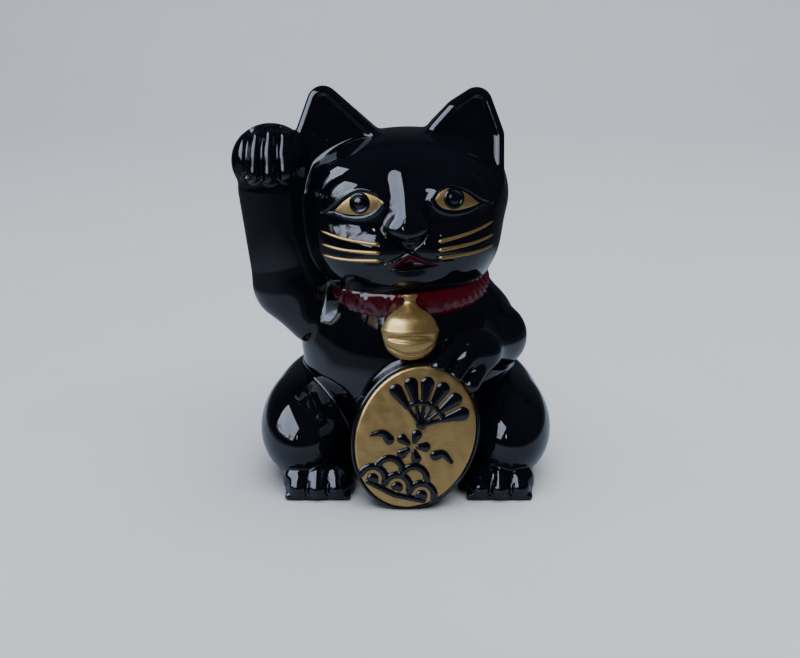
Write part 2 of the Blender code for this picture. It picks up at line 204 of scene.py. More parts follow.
def draw(field, p, points, width, depth, behind=-12, taper=0.0):
    """Presses a line into the front of the field, or raises it where depth is negative.
    points are (x, z) as seen from the front; taper thins the line towards its end."""
    line = curve(points)
    low, high = line.min(axis=0) - 3 * width, line.max(axis=0) + 3 * width
    flat = p[:, (0, 2)]
    near = (p[:, 1] < behind) & (np.abs(field) < 6)
    near &= (flat > low.astype(p.dtype)).all(axis=1) & (flat < high.astype(p.dtype)).all(axis=1)
    if near.any():
        d, place = from_line(flat[near], line)
        size = 1 - taper * place
        field[near] += depth * size * np.exp(-((d / (width * size)) ** 2))
    return field


# ---- The cat, modelled as one glazed form of several castings ------------------------------------


def torso(p):
    """Back, belly, shoulders and the root of the neck."""
    field = ellipsoid(p, (0, 1, 43), (44, 36.5, 52))
    field = join(field, ellipsoid(p, (0, 12, 34), (41, 34, 39)), 12)
    field = join(field, ellipsoid(p, (0, -7.5, 50), (35.5, 32, 46)), 8)
    for side in (-1, 1):
        field = join(field, ellipsoid(p, (side * 26.4, -2, 61), (18.2, 18, 18)), 8)
    return join(field, limb(p, (0, -2, 66), (0, -2, 84), 29.5, 30.5), 8)


def haunch(p, side):
    """Thigh and rump of one folded hind leg."""
    field = ellipsoid(p, (side * 38.9 - 1.2, -6, 20.9), (21.4, 38.2, 22.5), (0, 0, side * 8))
    return join(field, ellipsoid(p, (side * 28, 17, 22), (25, 26, 22.5)), 12)


def foot(p, side):
    """A hind foot on its thin plinth, with the ends of three toes side by side in front."""
    field = rounded_box(p, (side * 36.8, -28, 6.1), (14.2, 15.2, 6.3), 5.6)
    field = join(field, rounded_box(p, (side * 36.8, -28.2, 1.5), (13.2, 17.0, 1.6), 1.5), 1.5)
    for toe, reach in ((-1, -42.2), (0, -43.0), (1, -42.0)):
        x = side * (36.9 + toe * 7.8)
        field = join(field, limb(p, (x - side * toe * 0.6, reach + 3.4, 9.6), (x, reach, 4.6), 3.2, 4.2), 1.0)
    return field


def raised_arm(p):
    """The bent arm, and a mitten of a paw whose four fingers are parted by soft grooves."""
    field = limb(p, (-39, -7, 66.5), (-48.8, -4.5, 77), 11.8, 13.0)
    field = join(field, limb(p, (-50.4, -4, 81.5), (-54.0, -6, 120), 13.9, 14.8), 6)
    field = join(field, limb(p, (-43, 0, 76), (-45, -2, 122), 11.5, 11), 6)
    mitten = ellipsoid(p, (-55, -7.5, 131.4), (15.8, 14, 14.8))
    for tip, top in (
        ((-65.6, -11.6, 129.8), (-63.4, -10.6, 137.5)),
        ((-60.5, -17.6, 128.4), (-58.6, -15.0, 141.0)),
        ((-54.6, -19.0, 128.2), (-54.0, -15.6, 142.0)),
        ((-48.6, -18.0, 129.0), (-49.2, -14.6, 141.0)),
    ):
        mitten = join(mitten, limb(p, top, tip, 3.2, 4.3), 0.9)
    field = join(field, mitten, 1.6)
    for x in (-63.3, -57.5, -51.6):
        draw(field, p, [(x * 0.93 - 3.7, 144), (x - 0.2, 136), (x, 127.5)], 1.5, 1.6, -6)
    return field


def lowered_arm(p):
    """The other arm, lying across the chest, with three fingers over the coin's corner."""
    field = limb(p, (27.2, -4, 64.8), (35, -11, 59.2), 13.2, 12)
    field = join(field, limb(p, (35, -11, 59.2), (27, -32.6, 60.6), 12, 9.0), 8)
    field = join(field, ellipsoid(p, (25, -36.2, 60.8), (10.5, 7, 8)), 4)
    paw = None
    for root, tip in (
        ((18.8, -37.5, 63.8), (11.2, -47.2, 58.3)),
        ((25.0, -37.5, 61.6), (17.6, -47.2, 54)),
        ((31.5, -34.5, 59), (24.2, -45.2, 50)),
    ):
        finger = limb(p, root, tip, 3.8, 3.3)
        paw = finger if paw is None else join(paw, finger, 1.3)
    return join(field, paw, 3)


def tail(p):
    """A short thick tail curled against the back."""
    x, _, z = middle("tail")
    field = limb(p, (x - 4, 42, z - 9), (x + 8, 44, z - 7), 8.5, 8.5)
    field = join(field, limb(p, (x + 8, 44, z - 7), (x + 9, 45, z + 4), 8.5, 7.6), 8)
    return join(field, limb(p, (x + 9, 45, z + 4), (x - 3, 45, z + 9), 7.6, 6), 8)


def ear(h, side):
    """One ear in the head's axes: a rounded wedge with a shallow dish in front, inside a rolled rim."""
    if side < 0:
        corners = [(-36.6, 46), (-10.6, 56), (-30.8, 76.0), (-36.4, 63)]
    else:
        corners = [(12.0, 56.2), (33.4, 44), (34.2, 60), (30.2, 72.4), (23.4, 68.4), (16.4, 61.6)]
    edge = from_outline(h[:, (0, 2)], corners) - 6.4
    upwards = h[:, 2] - 50
    half_thick = np.clip(10 - 0.23 * upwards, 2.8, 12)
    dish = 1.3 * smooth_step((-edge - 1.8) / 2.8)
    deep = h[:, 1] - 0.05 * upwards
    field = common(edge, -half_thick - deep + dish, 3.2)
    return common(field, deep - half_thick, 4)


def skull(h):
    """The head without ears or features: crown, jowls, cheeks and neck."""
    field = ellipsoid(h, (-0.8, 1, 33.6), (42.0, 36.5, 26))
    field = join(field, ellipsoid(h, (-0.6, 3, 43.2), (39, 31, 18.7)), 12)
    field = join(field, ellipsoid(h, (-0.6, 0, 15), (35.6, 33.5, 19.8)), 12)
    for side in (-1, 1):
        field = join(field, ellipsoid(h, (side * 16.6 - 1, -14, 22), (18.4, 21, 15.5)), 10)
    return join(field, limb(h, (0, 0, -6), (0, 0, 8), 30.3, 31), 6)


def face(h, field):
    """Muzzle, nose, chin and eye sockets on the skull."""
    x = FACE_X
    for side in (-1, 1):
        socket = ellipsoid(h, (x + side * 18.3, -39.6, 43.0), (14.6, 6.2, 8.6), (0, 0, side * 24))
        field = carve(field, socket, 5.5)
        eyeball = ellipsoid(h, (x + side * 18.2, -26.9, 40.4), (12.4, 6.2, 9.4), (0, 0, side * 24))
        field = join(field, eyeball, 4)
        field = join(field, ellipsoid(h, (x + side * 8.5, -29.6, 23), (11, 9.2, 7.6)), 4)
    nose = limb(h, (x, -24.5, 48), (x, -34.6, 33.6), 7.2, 6.6)
    for side in (-1, 1):
        nose = join(nose, ellipsoid(h, (x + side * 4.6, -36.2, 31.9), (4.0, 4.8, 3.2)), 3)
    nose = join(nose, ellipsoid(h, (x, -37.6, 30.6), (4.6, 4.6, 3.2)), 2.5)
    field = join(field, ellipsoid(h, (x, -27.5, 12.5), (13, 9, 6.5)), 5)
    return join(field, nose, 2.2)


def face_lines(h, field):
    """Rolled eyelids, the lines under the nose, the lips and the mouth's pocket, drawn into the skin."""
    x = FACE_X
    for side in (-1, 1):
        upper = [(8.8, 41.6), (12, 45.4), (17.5, 47.0), (23.5, 44.4), (28.6, 40.2), (33.6, 36.6)]
        lower = [(8.8, 41.6), (12, 38), (17, 35.9), (23, 35.9), (28, 37.2), (33.6, 36.6)]
        for line, height in ((upper, 0.85), (lower, 0.5)):
            draw(field, h, [(x + side * a, b) for a, b in line], 0.95, -height, -14, 0.75)
        draw(field, h, [(x + side * 8.0, 30.8), (x + side * 4.2, 26.6), (x + side * 0.5, 22.8)], 0.6, 0.7)
        lip = [(0.5, 22.7), (4.5, 20.2), (10, 18.5), (17, 18.4)]
        draw(field, h, [(x + side * a, b) for a, b in lip], 0.7, 0.8, taper=0.7)
        for dot_x, dot_z in ((12.6, 28.4), (10.4, 19.9)):
            draw(field, h, [(x + side * dot_x, dot_z), (x + side * dot_x + 0.1, dot_z)], 0.5, -0.35)
    near = (np.abs(h[:, 0] - x) < 14) & (np.abs(h[:, 2] - 18) < 6) & (h[:, 1] < -20)
    if near.any():
        pocket = from_outline(h[near][:, (0, 2)], [(x - 8.2, 15.5), (x + 10.6, 16.3), (x, 21.4)])
        field[near] += 1.2 * smooth_step(-pocket / 2.4 + 0.2)
    return field


def head(p):
    h = (p - NECK.astype(p.dtype)) @ HEAD_AXES.astype(p.dtype)
    field = face(h, skull(h))
    for side in (-1, 1):
        field = join(field, ear(h, side), 1.8)
    return face_lines(h, field)


def castings(p):
    """Each casting's own field."""
    body = torso(p)
    for side in (-1, 1):
        body = join(body, haunch(p, side), 1.5)
    return {
        "body": body,
        "head": head(p),
        "raised_arm": raised_arm(p),
        "lowered_arm": lowered_arm(p),
        "left_hind_paw": foot(p, 1),
        "right_hind_paw": foot(p, -1),
        "tail": tail(p),
    }


# How softly each casting runs into the ones before it.
FILLETS = {
    "head": 2.0,
    "raised_arm": 1.4,
    "lowered_arm": 1.4,
    "left_hind_paw": 1.2,
    "right_hind_paw": 1.2,
    "tail": 2.0,
}


def coin_bed(p):
    """The boss on the belly that frames the coin, and the seat that the coin is let into."""
    q = (p - COIN.astype(p.dtype)) @ COIN_AXES.astype(p.dtype)
    half = COIN_SIZE / 2
    frame_width, frame_below_face, boss_depth, gap = 1.7, 0.9, 14, 0.15

    def oval(grow):
        return (length(q[:, :2] / (half[:2] + grow).astype(p.dtype)) - 1) * (half[0] + grow)

    boss = carve(oval(frame_width), half[2] - frame_below_face - q[:, 2], 1.6)
    boss = np.maximum(boss, -boss_depth - q[:, 2])
    seat = np.maximum(oval(gap), -half[2] - q[:, 2])
    return boss, seat


def glazed_skin(p):
    """The whole figure's field, and for each point the number of the casting it belongs to."""
    parts = castings(p)
    names = list(parts)
    boss, seat = coin_bed(p)
    parts["body"] = join(parts["body"], boss, 2.5)
    owner = np.argmin(np.stack([parts[name] for name in names]), axis=0)
    field = parts["body"]
    for name in names[1:]:
        field = join(field, parts[name], FILLETS[name])
    field = carve(field, seat, 0.8)
    field = carve(field, p[:, 2], 1.2)
    clay = underside(p)
    owner = np.where((clay < -field + 0.02) | (p[:, 2] < 0.15), len(names), owner)
    return np.maximum(field, -clay), owner


def skin_field(p):
    """The whole figure's field."""
    return glazed_skin(p)[0]


def casting_of(p):
    """The number of the casting that each point belongs to."""
    return glazed_skin(p)[1]


def underside(p):
    """The hollow, the drain hole and its recess: negative inside them."""
    recess_radius, recess_depth = 15.5, 3
    drain_radius, drain_depth, floor_thickness = 11, 14, 8
    x, y, _ = middle("base_stopper")
    flat = length(p[:, :2] - np.array((x, y), p.dtype))
    recess = np.maximum(flat - recess_radius, p[:, 2] - recess_depth)
    drain = np.maximum(flat - drain_radius, p[:, 2] - drain_depth)
    chamber = np.maximum(ellipsoid(p, (0, 12, 30), (34, 27, 24)), floor_thickness - p[:, 2])
    return np.minimum(np.minimum(recess, drain), chamber)


# ---- From field to mesh --------------------------------------------------------------------------


def in_chunks(field, points):
    """The field's values at many points, worked out a chunk at a time on all cores."""
    chunks = [points[i:i + CHUNK] for i in range(0, len(points), CHUNK)]
    with ThreadPoolExecutor(4) as pool:
        return np.concatenate(list(pool.map(field, chunks)))


def sample(field, low, high, voxel):
    """Values of the field on a grid of voxels, worked out in full only in blocks near the surface."""
    side = voxel * BLOCK
    blocks = np.ceil((high - low) / side).astype(int)
    at = np.stack(np.meshgrid(*[np.arange(n) for n in blocks], indexing="ij"), axis=-1).reshape(-1, 3)
    centres = (low + (at + 0.5 - 0.5 / BLOCK) * side).astype(np.float32)
    rough = in_chunks(field, centres)
    values = np.repeat(np.repeat(np.repeat(rough.reshape(blocks), BLOCK, 0), BLOCK, 1), BLOCK, 2)
    near = np.abs(rough) < side * 1.25
    inside = np.stack(np.meshgrid(*[np.arange(BLOCK)] * 3, indexing="ij"), axis=-1).reshape(-1, 3)
    points = (low + (at[near][:, None, :] * BLOCK + inside[None]) * voxel).reshape(-1, 3).astype(np.float32)
    grid = values.reshape(blocks[0], BLOCK, blocks[1], BLOCK, blocks[2], BLOCK)
    i, j, k = at[near].T
    grid[i, :, j, :, k, :] = in_chunks(field, points).reshape(-1, BLOCK, BLOCK, BLOCK)
    return grid.reshape(values.shape)


def surface_net(values, low, voxel):
    """Points and four-sided faces of the surface where the values change sign."""
    solid = values < 0
    shape = np.array(values.shape) - 1
    count = np.zeros(shape, np.uint8)
    corners = [(i, j, k) for i in (0, 1) for j in (0, 1) for k in (0, 1)]
    for i, j, k in corners:
        count += solid[i:i + shape[0], j:j + shape[1], k:k + shape[2]]
    cells = np.argwhere((count > 0) & (count < 8))
    number = np.full(shape, -1, np.int32)
    number[tuple(cells.T)] = np.arange(len(cells))
    total, crossings = np.zeros((len(cells), 3)), np.zeros(len(cells))
    for corner in corners:
        for axis in range(3):
            if corner[axis]:
                continue
            start = cells + corner
            end = start.copy()
            end[:, axis] += 1
            a, b = values[tuple(start.T)], values[tuple(end.T)]
            cut = (a < 0) != (b < 0)
            place = (np.array(corner) + np.zeros((len(cells), 3)))
            place[cut, axis] = a[cut] / (a[cut] - b[cut])
            total[cut] += place[cut]
            crossings += cut
    points = low + (cells + total / crossings[:, None]) * voxel
    faces = []
    for axis in range(3):
        u, v = (axis + 1) % 3, (axis + 2) % 3
        first = [slice(1, -1)] * 3
        first[axis] = slice(0, -1)
        second = list(first)
        second[axis] = slice(1, None)
        a, b = solid[tuple(first)], solid[tuple(second)]
        edges = np.argwhere(a != b)
        outward = a[tuple(edges.T)]
        edges += [0 if d == axis else 1 for d in range(3)]
        step_u, step_v = np.eye(3, dtype=int)[u], np.eye(3, dtype=int)[v]
        quad = [number[tuple((edges - shift).T)] for shift in (0 * step_u, step_u, step_u + step_v, step_v)]
        quad = np.stack(quad, axis=1)
        quad[~outward] = quad[~outward][:, ::-1]
        faces.append(quad)
    return points, np.concatenate(faces)


def steepest(field, at, reach=0.06):
    """The field's slope and its value at each point, from the corners of a small tetrahedron round it."""
    corners = np.array([(1, -1, -1), (-1, -1, 1), (-1, 1, -1), (1, 1, 1)], np.float32)
    at = at.astype(np.float32)
    values = np.stack([in_chunks(field, at + np.float32(reach) * corner) for corner in corners], axis=1)
    return values @ corners / (4 * reach), values.mean(axis=1)


def settle(field, points, voxel):
    """Moves the points onto the surface, and returns them with the surface's directions."""
    for _ in range(2):
        slope, away = steepest(field, points)
        away = away / np.maximum((slope ** 2).sum(axis=1), 0.2)
        points = points - np.clip(away, -voxel, voxel)[:, None] * slope
    slope, _ = steepest(field, points)
    return points, slope / np.maximum(length(slope), 1e-6)[:, None]


def new_piece(name, points, faces, skin, normals=None):
    """A mesh object from points in millimetres. Faces are rows of point numbers."""
    mesh = bpy.data.meshes.new(name)
    faces = np.asarray(faces, np.int32)
    mesh.vertices.add(len(points))
    mesh.vertices.foreach_set("co", (np.asarray(points) * MM).astype(np.float32).ravel())
    mesh.loops.add(faces.size)
    mesh.loops.foreach_set("vertex_index", faces.ravel())
    mesh.polygons.add(len(faces))
    mesh.polygons.foreach_set("loop_start", np.arange(len(faces), dtype=np.int32) * faces.shape[1])
    mesh.polygons.foreach_set("use_smooth", np.ones(len(faces), bool))
    mesh.update(calc_edges=True)
    mesh.validate()
    if normals is not None:
        mesh.normals_split_custom_set_from_vertices(normals.astype(np.float32))
    mesh.materials.append(skin)
    piece = bpy.data.objects.new(name, mesh)
    bpy.context.scene.collection.objects.link(piece)
    return piece


def solid_of(name, field, low, high, voxel, skin):
    """A piece whose surface is where the field is zero."""
    low, high = np.asarray(low, float), np.asarray(high, float)
    points, faces = surface_net(sample(field, low, high, voxel), low, voxel)
    points, normals = settle(field, points, voxel)
    return new_piece(name, points, faces, skin, normals)


def figure(glaze, clay):
    """The castings, meshed as one skin and then parted where one casting ends and the next begins."""
    low = np.array(CAD_BOX[0]) / MM - 3
    high = np.array(CAD_BOX[1]) / MM + 3
    points, faces = surface_net(sample(skin_field, low, high, VOXEL), low, VOXEL)
    points, normals = settle(skin_field, points, VOXEL)
    owner = in_chunks(casting_of, points)
    names = ["body_casting", "head_casting", "raised_arm", "lowered_arm"]
    names += ["left_hind_paw", "right_hind_paw", "tail"]
    of_face = np.median(owner[faces], axis=1).astype(int)
    made = {}
    for number, name in enumerate(names + ["bare_clay"]):
        own = faces[of_face == number]
        used, renumbered = np.unique(own, return_inverse=True)
        title = name if name == "bare_clay" else "glazed_" + name
        skin = clay if name == "bare_clay" else glaze
        made[title] = new_piece(title, points[used], renumbered.reshape(own.shape), skin, normals[used])
    for name in names:
        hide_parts(name)
    return made


# ---- Pieces set on the skin ----------------------------------------------------------------------


TIP = 0.01  # radius of the ring of points that closes the end of a turned piece


def to_world(h):
    """Turns points from the head's own axes into the frame's."""
    return np.asarray(h, float) @ HEAD_AXES.T + NECK


def on_face(flat):
    """Points and directions of the head's skin that are seen from the front at (x, z) in the head's axes."""
    flat = np.asarray(flat, float).reshape(-1, 2)
    depth = np.full(len(flat), -60.0)
    for _ in range(40):
        points = to_world(np.column_stack((flat[:, 0], depth, flat[:, 1])))
        depth += np.clip(0.8 * in_chunks(head, points.astype(np.float32)), -2, 8)
    slope, _ = steepest(head, points)
    return points, slope / length(slope)[:, None]


def grid_faces(rows, columns, wrap_rows=False, wrap_columns=False):
    """Four-sided faces over a grid of points numbered row by row."""
    i = np.arange(rows if wrap_rows else rows - 1)[:, None]
    j = np.arange(columns if wrap_columns else columns - 1)[None, :]
    i2, j2 = (i + 1) % rows, (j + 1) % columns
    corners = (i * columns + j, i * columns + j2, i2 * columns + j2, i2 * columns + j)
    return np.stack(np.broadcast_arrays(*corners), axis=-1).reshape(-1, 4)


def outward(piece):
    """Turns the piece's faces to point out."""
    bm = bmesh.new()
    bm.from_mesh(piece.data)
    bmesh.ops.remove_doubles(bm, verts=bm.verts, dist=0.001 * MM)
    bmesh.ops.recalc_face_normals(bm, faces=bm.faces)
    bm.to_mesh(piece.data)
    bm.free()
    return piece


def inlay(name, lower, upper, skin, proud, columns=48, rows=20):
    """A thin piece laid on the face between a lower and an upper line of the same number of points.
    Its points keep how high they lie between the lines, 0 to 1, for the material to read."""
    across = np.linspace(0, 1, columns)
    place = across * (len(lower) - 1)
    low_line = np.column_stack([np.interp(place, np.arange(len(lower)), lower[:, i]) for i in (0, 1)])
    high_line = np.column_stack([np.interp(place, np.arange(len(upper)), upper[:, i]) for i in (0, 1)])
    up = np.linspace(0, 1, rows)[:, None, None]
    flat = (low_line[None] * (1 - up) + high_line[None] * up).reshape(-1, 2)
    points, normals = on_face(flat)
    rise = np.sqrt(np.clip(np.outer(np.sin(np.pi * up.ravel()), np.sin(np.pi * across)), 0, 1)).ravel()
    front = points + normals * (proud * rise + 0.02)[:, None]
    back = points - normals * 0.5
    faces = grid_faces(rows, columns)
    under = faces[:, ::-1] + len(front)
    rim = np.concatenate((
        np.arange(columns), columns * np.arange(1, rows) + columns - 1,
        (rows - 1) * columns + np.arange(columns - 2, -1, -1), columns * np.arange(rows - 2, 0, -1),
    ))
    after = np.roll(rim, -1)
    side = np.column_stack((rim, after, after + len(front), rim + len(front)))
    piece = new_piece(name, np.vstack((front, back)), np.vstack((faces, under, side)), skin)
    level = piece.data.attributes.new("level", "FLOAT", "POINT")
    level.data.foreach_set("value", np.tile(np.repeat(up.ravel(), columns), 2).astype(np.float32))
    return outward(piece)


def eye_lines(side):
    """The lower and the upper line of an eye's opening, from the inner corner to the outer one."""
    x = FACE_X
    inner, outer = (x + side * (10.6 if side > 0 else 8.6), 41.9), (x + side * 27.9, 38.2)
    lower = curve([inner, (x + side * 13, 38.7), (x + side * 17.5, 37.2), (x + side * 22.5, 37.2), outer])
    upper = curve([inner, (x + side * 13, 44.7), (x + side * 17.5, 45.7), (x + side * 23.0, 42.9), outer])
    return lower, upper


def eye(name, side, gilt):
    """Gold inlay that fills an eye's opening."""
    lower, upper = eye_lines(side)
    return inlay(name, lower, upper, gilt, 0.35)


def turned(name, centre, axes, profile, skin, steps=72, squash=None):
    """A piece turned about its own third axis from (radius, height) points, then changed by squash."""
    around = np.linspace(0, 2 * np.pi, steps, endpoint=False)
    ring = np.column_stack((np.cos(around), np.sin(around)))
    profile = np.asarray(profile, float)
    points = np.concatenate([
        np.column_stack((ring * radius, np.full(steps, height))) for radius, height in profile
    ])
    if squash is not None:
        points = squash(points)
    points = points @ np.asarray(axes).T + centre
    return outward(new_piece(name, points, grid_faces(len(profile), steps, wrap_columns=True), skin))


def iris(name, side, glaze):
    """Raised ring round a domed pupil."""
    centre, normal = on_face([(FACE_X + side * 18.0, 41.7)])
    out = unit(normal[0])
    first = unit(np.cross((0, 0, 1), out))
    axes = np.column_stack((first, np.cross(out, first), out))
    pupil = [(TIP, 1.25), (1.1, 1.1), (2.0, 0.65), (2.35, 0.28)]
    ring = [(2.7, 0.42), (3.2, 0.72), (3.75, 0.6), (4.15, 0.0), (4.2, -1.2)]
    profile = curve(pupil + ring)
    profile[:, 0] = np.maximum(profile[:, 0], TIP)
    profile = np.vstack((profile, (TIP, -1.2)))
    return turned(name, centre[0], axes, profile, glaze)


def tube(name, centres, radii, skin, sides=14):
    """A round piece along a line of centres, with a radius at each."""
    centres = np.asarray(centres, float)
    along = np.gradient(centres, axis=0)
    along /= length(along)[:, None]
    first = np.cross(along, (0, 0, 1))
    first /= length(first)[:, None]
    second = np.cross(first, along)
    angle = np.linspace(0, 2 * np.pi, sides, endpoint=False)
    rings = centres[:, None] + np.asarray(radii)[:, None, None] * (
        first[:, None] * np.cos(angle)[None, :, None] + second[:, None] * np.sin(angle)[None, :, None]
    )
    faces = grid_faces(len(centres), sides, wrap_columns=True)
    return outward(new_piece(name, rings.reshape(-1, 3), faces, skin))


def whisker(name, side, row, gilt):
    """Raised gold line, thick beside the muzzle and thin at its outer end."""
    inner = (FACE_X + side * 11.0, 26.2 - 3.05 * row)
    outer = (FACE_X + side * 33.6, 29.8 - 5.2 * row + 0.3 * row * row)
    bend = (inner[0] * 0.5 + outer[0] * 0.5, inner[1] * 0.5 + outer[1] * 0.5 - 0.35)
    line = curve([inner, bend, outer], steps=14)
    points, normals = on_face(line)
    share = np.linspace(0, 1, len(line))
    ends = np.sqrt(np.clip(np.minimum(share / 0.035, (1 - share) / 0.08), 0.0004, 1))
    radii = (0.86 - 0.42 * share ** 0.8) * ends
    return tube(name, points + normals * 0.18, radii, gilt)


def mouth(red):
    """Small three-cornered mouth, red under its upper lip and running into painted shade below."""
    x = FACE_X
    right_corner, left_corner = (x - 8.6, 15.6), (x + 10.9, 16.6)
    peak = [(x - 4.2, 18.7), (x - 0.6, 21.2), (x + 0.6, 21.2), (x + 5.0, 19.0)]
    bottom = [(x - 3.5, 14.9), (x, 14.8), (x + 2.5, 14.9), (x + 6.5, 15.3)]
    upper = curve([right_corner, *peak, left_corner])
    lower = curve([right_corner, *bottom, left_corner])
    return inlay("red_mouth", lower, upper, red, 0.1)


def collar(red):
    """Band round the neck: slanted pleats on its left and back, soft lumps in front and on its right."""
    steps, section = 720, 40
    thick, tall, gap = 4.6, 10.2, 0.3
    size = extent("collar") / 2
    around = np.linspace(0, 2 * np.pi, steps, endpoint=False)[:, None]
    over = np.linspace(0, 2 * np.pi, section, endpoint=False)[None, :]
    out = np.sign(np.cos(over)) * np.abs(np.cos(over)) ** 0.7
    up = np.sign(np.sin(over)) * np.abs(np.sin(over)) ** 0.85
    pleated = smooth_step((np.cos(around - 0.55) + 0.05) / 0.35)
    sway = 1.9 * up + 0.5 * np.sin(around * 5) + 0.35 * np.sin(3.1 * up)
    pleats = 0.62 * (1 - np.abs(np.sin(around * 29 + sway)) ** 0.55) - 0.2
    wander = 1.3 * np.sin(around * 9 + 2 * up)
    broad = np.sin(around * 23 + 2.4 * up + wander) * np.cos(around * 11 - 1.9 * up)
    narrow = np.sin(around * 41 - 2.6 * up + 1.8 * np.sin(around * 17 - up))
    lumps = 0.38 * broad + 0.22 * narrow
    lumps = lumps * (0.35 + 0.65 * smooth_step((-np.cos(around) - 0.02) / 0.3))
    relief = pleats * pleated + lumps * (1 - pleated)
    relief = relief * np.clip(out, 0, 1) * (1 - 0.8 * np.abs(up) ** 4)
    reach = thick / 2 * out + relief
    x = (size[0] - thick / 2 - gap + reach) * np.cos(around)
    y = (size[1] - thick / 2 - gap + reach) * np.sin(around)
    z = tall / 2 * up + 0 * around
    points = to_world(np.stack((x, y, z), axis=-1).reshape(-1, 3))
    faces = grid_faces(steps, section, wrap_rows=True, wrap_columns=True)
    return outward(new_piece("pleated_collar", points, faces, red))


def bell(gilt):
    """Round bell under a pinched neck, with a raised belt, a slot below it and a curved groove below that."""
    lower_half = [(0.02, -11), (5.6, -9.45), (9.3, -5.9), (11, 0)]
    upper_half = [(10.5, 2.9), (8.9, 5.8), (6.4, 7.9), (4.2, 9.1)]
    neck_and_lip = [(2.8, 10.4), (2.3, 11.8), (2.5, 13.0), (3.0, 13.8), (2.6, 14.4), (0.02, 14.5)]
    profile = curve(lower_half + upper_half + neck_and_lip, steps=16)

    def shape(q):
        x, y, z = q.T.copy()
        front = smooth_step(-y / 6)
        radius = np.hypot(x, y)
        belt = smooth_step((z + 0.1) / 0.4) * smooth_step((2.0 - z) / 0.5)
        wide = np.clip(1 - (x / 9.6) ** 2, 0, 1)
        slot = np.exp(-((z + 1.4) / (0.25 + 1.15 * wide)) ** 4) * smooth_step(wide * 2)
        smile = z + 7.6 - 0.034 * x * x
        groove = np.exp(-(smile / 0.62) ** 2) * smooth_step(wide * 2.2)
        rise = 0.18 * belt - front * (1.5 * slot + 0.9 * groove)
        grow = 1 + np.where(radius > 1, rise, 0) / np.maximum(radius, 3) * (z < 6)
        neck = smooth_step((z - 6) / 6)
        y = y * grow * (0.78 - 0.1 * neck) + 3.4 * neck
        return np.column_stack((x * grow, y, z))

    low, high = (np.array(corner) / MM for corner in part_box("bell"))
    centre = np.array(((low[0] + high[0]) / 2, -42.9, low[2] + 11.2))
    return turned("gilt_bell", centre, rotation((-9, 0, 0)), profile, gilt, 160, shape)


def coin(gilt):
    """Oval plaque with a soft edge and a slightly uneven face."""
    steps, edge = 240, 1.1
    half = COIN_SIZE / 2
    flat = half - edge
    around = np.linspace(0, 2 * np.pi, steps, endpoint=False)
    rings = [(TIP, TIP, half[2])]
    for share in np.linspace(0.1, 0.9, 9):
        rings.append((flat[0] * share, flat[1] * share, half[2]))
    for angle in np.radians(np.linspace(90, 0, 7)):
        out, up = edge * math.cos(angle), edge * math.sin(angle)
        rings.append((flat[0] + out, flat[1] + out, flat[2] + up))
    rings.append((half[0], half[1], -half[2]))
    rings.append((TIP, TIP, -half[2]))
    points = []
    for a, b, height in rings:
        x, y = a * np.cos(around), b * np.sin(around)
        uneven = 0.12 * np.sin(x * 0.31 + 1.0) * np.cos(y * 0.27) + 0.05 * np.sin(x * 0.8 + y * 0.6)
        z = height + (uneven if height > flat[2] else 0 * x)
        points.append(np.column_stack((x, y, z)))
    points = np.concatenate(points) @ COIN_AXES.T + COIN
    return outward(new_piece("gilt_koban", points, grid_faces(len(rings), steps, wrap_columns=True), gilt))


def ring_line(centre, radius, start, end, steps=16):
    """Points along part of a circle, between two angles in degrees."""
    angles = np.radians(np.linspace(start, end, steps))
    return np.column_stack((centre[0] + radius * np.cos(angles), centre[1] + radius * np.sin(angles)))


def spoke(centre, angle, near, far):
    """A straight line outwards from a centre, from one radius to another."""
    return np.vstack([ring_line(centre, radius, angle, angle, 1) for radius in (near, far)])


def ornament(name, strokes, glaze):
    """Raised rounded strokes on the coin's face: lines in its plane, with a half width at each end."""
    face, height = COIN_SIZE[2] / 2, 1.25

    def field(p):
        q = (p - COIN.astype(p.dtype)) @ COIN_AXES.astype(p.dtype)
        lift = np.maximum(q[:, 2] - face, 0)
        result = np.full(len(q), 1e3, q.dtype)
        for line, start, end in strokes:
            d, place = from_line(q[:, :2], line)
            width = start + (end - start) * place
            result = join(result, np.sqrt(d * d + (lift * width / 1.4) ** 2) - width, 0.5)
        result = common(result, q[:, 2] - face - height, 0.9)
        return np.maximum(result, face - 0.4 - q[:, 2])

    reach = np.vstack([line for line, _, _ in strokes])
    low = (*(reach.min(axis=0) - 4), face - 1.5)
    high = (*(reach.max(axis=0) + 4), face + 2.5)
    corners = [(x, y, z) for x in (low[0], high[0]) for y in (low[1], high[1]) for z in (low[2], high[2])]
    corners = np.array(corners) @ COIN_AXES.T + COIN
    return solid_of(name, field, corners.min(axis=0), corners.max(axis=0), 0.6 * VOXEL, glaze)


def fan_ornament(glaze):
    """Open fan: broad pleats parted by narrow gaps, above thin ribs and a rivet."""
    pivot = (0.4, 5.2)
    strokes = []
    for angle in np.linspace(36, 144, 6):
        strokes.append((spoke(pivot, angle, 10.6, 17.0), 1.55, 2.75))
        strokes.append((spoke(pivot, angle, 1.0, 10.0), 0.75, 0.85))
    strokes.append((ring_line(pivot, 9.2, 34, 146, 18), 1.0, 1.0))
    strokes.append((ring_line(pivot, 0.5, 0, 180, 3), 1.5, 1.5))
    return ornament("fan_ornament", strokes, glaze)


def blossom_ornament(glaze):
    """Five-petalled flower between two leaves."""
    centre = (0.2, -3.8)
    strokes = []
    for petal in range(5):
        strokes.append((spoke(centre, 90 + 72 * petal, 2.4, 5.0), 1.2, 2.1))
    for side in (-1, 1):
        leaf = [(side * 9.6 + 0.2, -4.2), (side * 12.6, -2.6), (side * 16.6, -4.6)]
        strokes.append((curve(leaf), 2.1, 0.9))
    return ornament("blossom_ornament", strokes, glaze)


